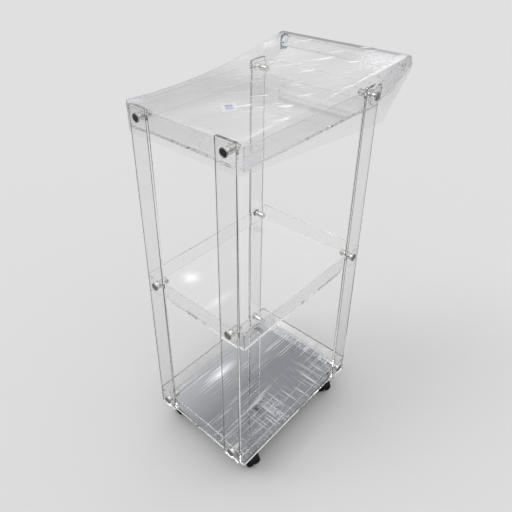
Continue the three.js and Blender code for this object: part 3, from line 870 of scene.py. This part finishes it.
def film_profile():
    """The film's line from the front over the handle, in rows about a cell apart. Each row has its place,
    its height where the film is slack, its height where it is taut, and its distance along the sheet."""
    low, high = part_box("wrap_film")
    rod = middle("handle_rod")
    reach = high.y - FILM_INSET - rod.y
    leg_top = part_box("leg_front_left")[1].z
    start = Vector((low.y + FILM_INSET, leg_top + FILM_FRONT_RISE))
    dip = Vector((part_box("top_tray")[0].y + FILM_DIP_Y, leg_top - FILM_DIP))
    to_rod = Vector((rod.y, rod.z)) - dip
    lift_off = math.atan2(to_rod.y, to_rod.x) + math.asin(reach / to_rod.length) + math.pi / 2
    touch = Vector((rod.y + reach * math.cos(lift_off), rod.z + reach * math.sin(lift_off)))
    steps = round((touch - start).length / FILM_CELL)
    slack = []
    for i in range(steps):
        t = i / steps
        slack.append(start.lerp(dip, t).lerp(dip.lerp(touch, t), t))
    turns = round(reach * lift_off / FILM_CELL)
    for i in range(turns + 1):
        angle = lift_off * (1 - i / turns)
        slack.append(Vector((rod.y + reach * math.cos(angle), rod.z + reach * math.sin(angle))))
    slope = (touch.y - start.y) / (touch.x - start.x)
    rows = []
    run = 0.0
    for i, point in enumerate(slack):
        taut = max(point.y, start.y + slope * (point.x - start.x)) if i < steps else point.y
        if i:
            run += (point - slack[i - 1]).length
        rows.append((point.x, point.y, taut, run))
    return rows, rod.z - FILM_TAIL


def stretched_noise(u, v, angle, across, along, seed):
    """Noise on the flat sheet, drawn out along a direction."""
    c, s = math.cos(angle), math.sin(angle)
    return noise.noise(((c * u + s * v) / across, (c * v - s * u) / along, seed))


def film_fold(u, v, *way):
    """A thin fold that wanders along a direction: 1 on its crest, 0 away from it."""
    return max(0.0, 1 - abs(stretched_noise(u, v, *way)) / FOLD_WIDTH) ** 2


def between(low, high, value):
    """0 below a range, 1 above it, and even in between."""
    return min(1.0, max(0.0, (value - low) / (high - low)))


def film_relief(u, v, from_shoulder, down):
    """Height of the film over its smooth form, and how white it is, partly its own whitening and partly
    painted highlights, at a place on the flat sheet.
    The distance in from the right shoulder is negative down that wall, and down is the share of its depth."""
    bunched = 0.0
    for place_u, place_v, radius, white in FILM_PATCHES.values():
        away = ((u - place_u) ** 2 + (v - place_v) ** 2) / radius ** 2
        bunched = max(bunched, white * math.exp(-away))
    folds = min(1.0, sum(film_fold(u, v, *way) for way in FOLD_WAYS))
    ridge = math.exp(-((from_shoulder - RIDGE_IN) / RIDGE_WIDTH) ** 2) * between(0.0, RIDGE_START, v)
    ridge *= between(-0.2, 0.25, stretched_noise(u, v, *RIDGE_BREAK))
    rear_right = between(*STREAKS_FROM, u) * between(*STREAKS_AFTER, v) * (1 - between(0.0, 0.3, down))
    broken = stretched_noise(u, v, *STREAK_BREAK) + 0.35 * bunched
    streak = film_fold(u, v, *STREAK_WAY) ** 2 * between(0.04, 0.16, broken) * rear_right
    wander = 3 * stretched_noise(u, v, *HATCH_WANDER)
    hatch = max(0.0, math.sin((u - HATCH_SLANT * v) / HATCH_SPACING * 2 * math.pi + wander)) ** 2
    # White marks: the crumpled film's own whitening, plus painted highlights on the streaks, the ridge and
    # the bunched places
    white = bunched * (0.45 + 0.7 * max(folds, hatch)) + STREAK_WHITE * streak
    white += RIDGE_WHITE * ridge * (0.4 + 0.6 * folds)
    wave = stretched_noise(u, v, *WAVE_WAY) + 0.5 * stretched_noise(u, v, *RIPPLE_WAY)
    height = FOLD_HEIGHT * (max(bunched, ridge) * max(folds, hatch) + 0.5 * streak)
    return height + WAVE_HEIGHT * wave * (0.6 - 0.4 * down), min(white, 1.0)


def film_veil(u, v, down, crest):
    """How grey the film is at a place on the flat sheet: cloudy, clear in some places and at its hem, and
    greyer in a band along the top of the handle."""
    clear = 0.0
    for place_u, place_v, radius in FILM_CLEAR_PLACES.values():
        clear = max(clear, math.exp(-((u - place_u) ** 2 + (v - place_v) ** 2) / radius ** 2))
    cloud = between(-0.5, 0.5, stretched_noise(u, v, *CLOUD_WAY))
    low, high = FILM_VEIL
    # A grey band along the top of the handle
    handle_top_band = HANDLE_TOP_VEIL * math.exp(-((v - crest) / HANDLE_TOP_WIDTH) ** 2)
    return (low + (high - low) * cloud) * (1 - clear) * (1 - down) + handle_top_band * (1 - between(0.0, 0.1, down))


def make_film():
    low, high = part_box("wrap_film")
    tray_low, tray_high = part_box("top_tray")
    cap_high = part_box("cap_screw_top_front_right")[1]
    leg_low, leg_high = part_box("leg_front_right")
    rear_cap_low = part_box("cap_screw_top_rear_right")[0]
    front_y = low.y + FILM_INSET
    rear_x = high.x - FILM_INSET
    plan = [(front_y, cap_high.x + FILM_GAP), (leg_low.y - FILM_GAP, leg_high.x + FILM_GAP),
            (tray_low.y, tray_high.x + FILM_GAP), (rear_cap_low.y, rear_x), (high.y, rear_x)]
    profile, tail_z = film_profile()
    hem = [(front_y, tray_low.z - FILM_FRONT_DROP), (tray_high.y - 4 * MM, tray_low.z - FILM_REAR_DROP),
           (profile[-1][0], tail_z)]
    crest = max(profile, key=lambda row: row[1])[3]
    rows = len(profile) - 1
    columns = round(2 * rear_x / FILM_CELL)
    shape = bmesh.new()
    layers = ("flat_u", "flat_v", "shoulder", "wall_share", "crease_and_highlight", "veil")
    for layer in layers:
        shape.verts.layers.float.new(layer)
    floats = shape.verts.layers.float
    flat_u, flat_v, shoulder, wall_share, crease_and_highlight_layer, veiled = (floats[layer] for layer in layers)

    def panel(across, along, spread):
        """A grid whose cells are spread to places, spots on the flat sheet and distances from the fold."""
        made = bmesh.ops.create_grid(shape, x_segments=across, y_segments=along, size=0.5)["verts"]
        for vert in made:
            i = (vert.co.x + 0.5) * across
            j = round((vert.co.y + 0.5) * along)
            vert.co, vert[flat_u], vert[flat_v], vert[shoulder], vert[wall_share] = spread(i / across, j)

    def top(i, j):
        y, slack, taut, run = profile[j]
        half = blend_line(plan, y)
        x = (2 * i - 1) * half
        return Vector((x, y, slack + (taut - slack) * i ** TAUT_SHARE)), x, run, half - x, 0

    def wall(sign):
        def spread(i, j):
            y, slack, taut, run = profile[j]
            z = taut if sign > 0 else slack
            half = blend_line(plan, y)
            depth = i * (z - blend_line(hem, y))
            inward = -depth if sign > 0 else 2 * half + depth
            return Vector((sign * half, y, z - depth)), sign * (half + depth), run, inward, i
        return spread

    def flap(row, half, foot, steps, way):
        y, z, _, run = row

        def spread(i, j):
            depth = j / steps * (z - foot)
            x = (2 * i - 1) * half
            return Vector((x, y, z - depth)), x, run + way * depth, half - x, j / steps
        return spread

    panel(columns, rows, top)
    panel(FILM_WALL_ROWS, rows, wall(-1))
    panel(FILM_WALL_ROWS, rows, wall(1))
    panel(columns, FILM_WALL_ROWS, flap(profile[0], plan[0][1], hem[0][1], FILM_WALL_ROWS, -1))
    panel(columns, FILM_TAIL_ROWS, flap(profile[-1], rear_x, tail_z, FILM_TAIL_ROWS, 1))
    bmesh.ops.remove_doubles(shape, verts=shape.verts, dist=0.2 * MM)
    bmesh.ops.recalc_face_normals(shape, faces=shape.faces)
    for _ in range(4):
        bmesh.ops.smooth_vert(
            shape, verts=shape.verts, factor=0.5, use_axis_x=True, use_axis_y=True, use_axis_z=True)
    shape.normal_update()
    for vert in shape.verts:
        u, v, down = vert[flat_u], vert[flat_v], vert[wall_share]
        # Each vertex gets its whiteness, partly painted highlight, and its veil
        height, vert[crease_and_highlight_layer] = film_relief(u, v, vert[shoulder], down)
        vert[veiled] = film_veil(u, v, down, crest)
        vert.co += vert.normal * (height - WAVE_HEIGHT)
    area = sum(face.calc_area() for face in shape.faces)
    film = finish_piece("film_wrap", shape, FILM, "stretch_film", TROLLEY, "wrap_film")


def make_camera():
    data = bpy.data.cameras.new("photo_camera")
    data.sensor_width = SENSOR_WIDTH
    data.lens = FOCAL_PIXELS / PHOTO_SIDE * SENSOR_WIDTH
    data.shift_x = 0.5 - PRINCIPAL_X / PHOTO_SIDE
    data.shift_y = PRINCIPAL_Y / PHOTO_SIDE - 0.5
    camera = bpy.data.objects.new("photo_camera", data)
    bpy.context.scene.collection.objects.link(camera)
    ahead = Vector((-math.sin(CAMERA_YAW) * math.cos(CAMERA_PITCH),
                    math.cos(CAMERA_YAW) * math.cos(CAMERA_PITCH), -math.sin(CAMERA_PITCH)))
    right = Vector((math.cos(CAMERA_YAW), math.sin(CAMERA_YAW), 0))
    up = right.cross(ahead)
    turn = Matrix((right, up, -ahead)).transposed() @ Matrix.Rotation(CAMERA_ROLL, 3, "Z")
    camera.matrix_world = Matrix.Translation(CAMERA_PLACE) @ turn.to_4x4()
    bpy.context.scene.camera = camera


# Room: ceiling lamps for the glints, as place, half size and brightness, a dark board for painted dark
# reflections, walls and a window
LAMPS = (
    ((-2.13, 1.53), (0.14, 0.14), 4.2),
    ((-1.54, 2.88), (0.14, 0.14), 5.0),
    ((-1.72, 1.49), (0.07, 0.28), 2.2))
LAMP_HEIGHT = 2.6
FLOOR_R = 14.0
BOARD_PLACE = (-1.1, -1.3, 0.32)
BOARD_TURN = math.radians(-45)
BOARD_HALF = (1.1, 0.6)
WALL_FOOT = 0.12
WALL_HEAD = 1.0
BACKDROP = 0.79
WINDOW_STRENGTH = 0.5
WINDOW_SPREAD = math.radians(25)
WINDOW_TURN = (math.radians(28), math.radians(-22), 0)
# Light goes through many faces of clear sheet, one behind the other
BOUNCES = 128


def stage_piece(name, shape, material):
    made = as_object(name, shape)
    made.data.materials.append(material)
    return made


def make_floor():
    shape = bmesh.new()
    bmesh.ops.create_circle(shape, cap_ends=True, segments=96, radius=FLOOR_R)
    stage_piece("floor", shape, pale_floor())


def make_room_light():
    """Walls that are dim at the foot and bright above, with a plain pale backdrop behind what is clear."""
    world = bpy.data.worlds.new("room")
    bpy.context.scene.world = world
    world.use_nodes = True
    tree = world.node_tree
    tree.nodes.clear()
    ray = add_node(tree, "LightPath")
    straight = add_node(tree, "Math", {
        0: ray.outputs["Is Transmission Ray"],
        1: ray.outputs["Glossy Depth"]}, operation="SUBTRACT", use_clamp=True)
    seen = add_node(tree, "Math", {0: ray.outputs["Is Camera Ray"], 1: straight}, operation="MAXIMUM")
    way = add_node(tree, "TexCoord")
    height = add_node(tree, "SeparateXYZ", {"Vector": way.outputs["Generated"]})
    walls = add_node(tree, "MapRange", {
        "Value": height.outputs["Z"], "From Max": 0.5, "To Min": WALL_FOOT, "To Max": WALL_HEAD})
    strength = add_node(tree, "Mix", {"Factor": seen, "A": walls, "B": BACKDROP}, data_type="FLOAT")
    light = add_node(tree, "Background", {"Color": linear("#fafafa"), "Strength": strength})
    add_node(tree, "OutputWorld", {"Surface": light})


def make_window():
    """Broad soft light from the left and the front."""
    data = bpy.data.lights.new("window", "SUN")
    data.energy = WINDOW_STRENGTH
    data.angle = WINDOW_SPREAD
    window = bpy.data.objects.new("window", data)
    bpy.context.scene.collection.objects.link(window)
    window.rotation_euler = WINDOW_TURN


def make_lamps():
    for (x, y), (half_x, half_y), peak in LAMPS:
        shape = bmesh.new()
        face_down = Matrix.Rotation(math.pi, 4, "X")
        bmesh.ops.create_circle(shape, cap_ends=True, segments=48, radius=1, matrix=face_down)
        lamp = stage_piece("ceiling_lamp", shape, lamp_glow(peak))
        lamp.location = (x, y, LAMP_HEIGHT)
        lamp.scale = (half_x, half_y, 1)
        lamp.visible_camera = False


def make_dark_board():
    """A dark board to the front left, seen only in reflections, which paints dark reflections in the
    polished caps.
    """
    shape = bmesh.new()
    bmesh.ops.create_circle(shape, cap_ends=True, segments=64, radius=1)
    board = stage_piece("dark_board", shape, dark_board())
    board.location = BOARD_PLACE
    board.rotation_euler = (math.radians(90), 0, BOARD_TURN)
    board.scale = (*BOARD_HALF, 1)
    board.visible_camera = False
    board.visible_shadow = False
    board.visible_diffuse = False
    board.visible_transmission = False


make_camera()
make_floor()
make_room_light()
make_window()
make_lamps()
make_dark_board()
make_trays()
make_legs()
make_stand_offs()
make_handle()
make_mirror()
make_casters()
make_label()
make_masking()
make_film()

cycles = bpy.context.scene.cycles
cycles.max_bounces = BOUNCES
cycles.glossy_bounces = BOUNCES
cycles.transmission_bounces = BOUNCES
cycles.transparent_max_bounces = BOUNCES // 4
view = bpy.context.scene.view_settings
view.view_transform = "Standard"
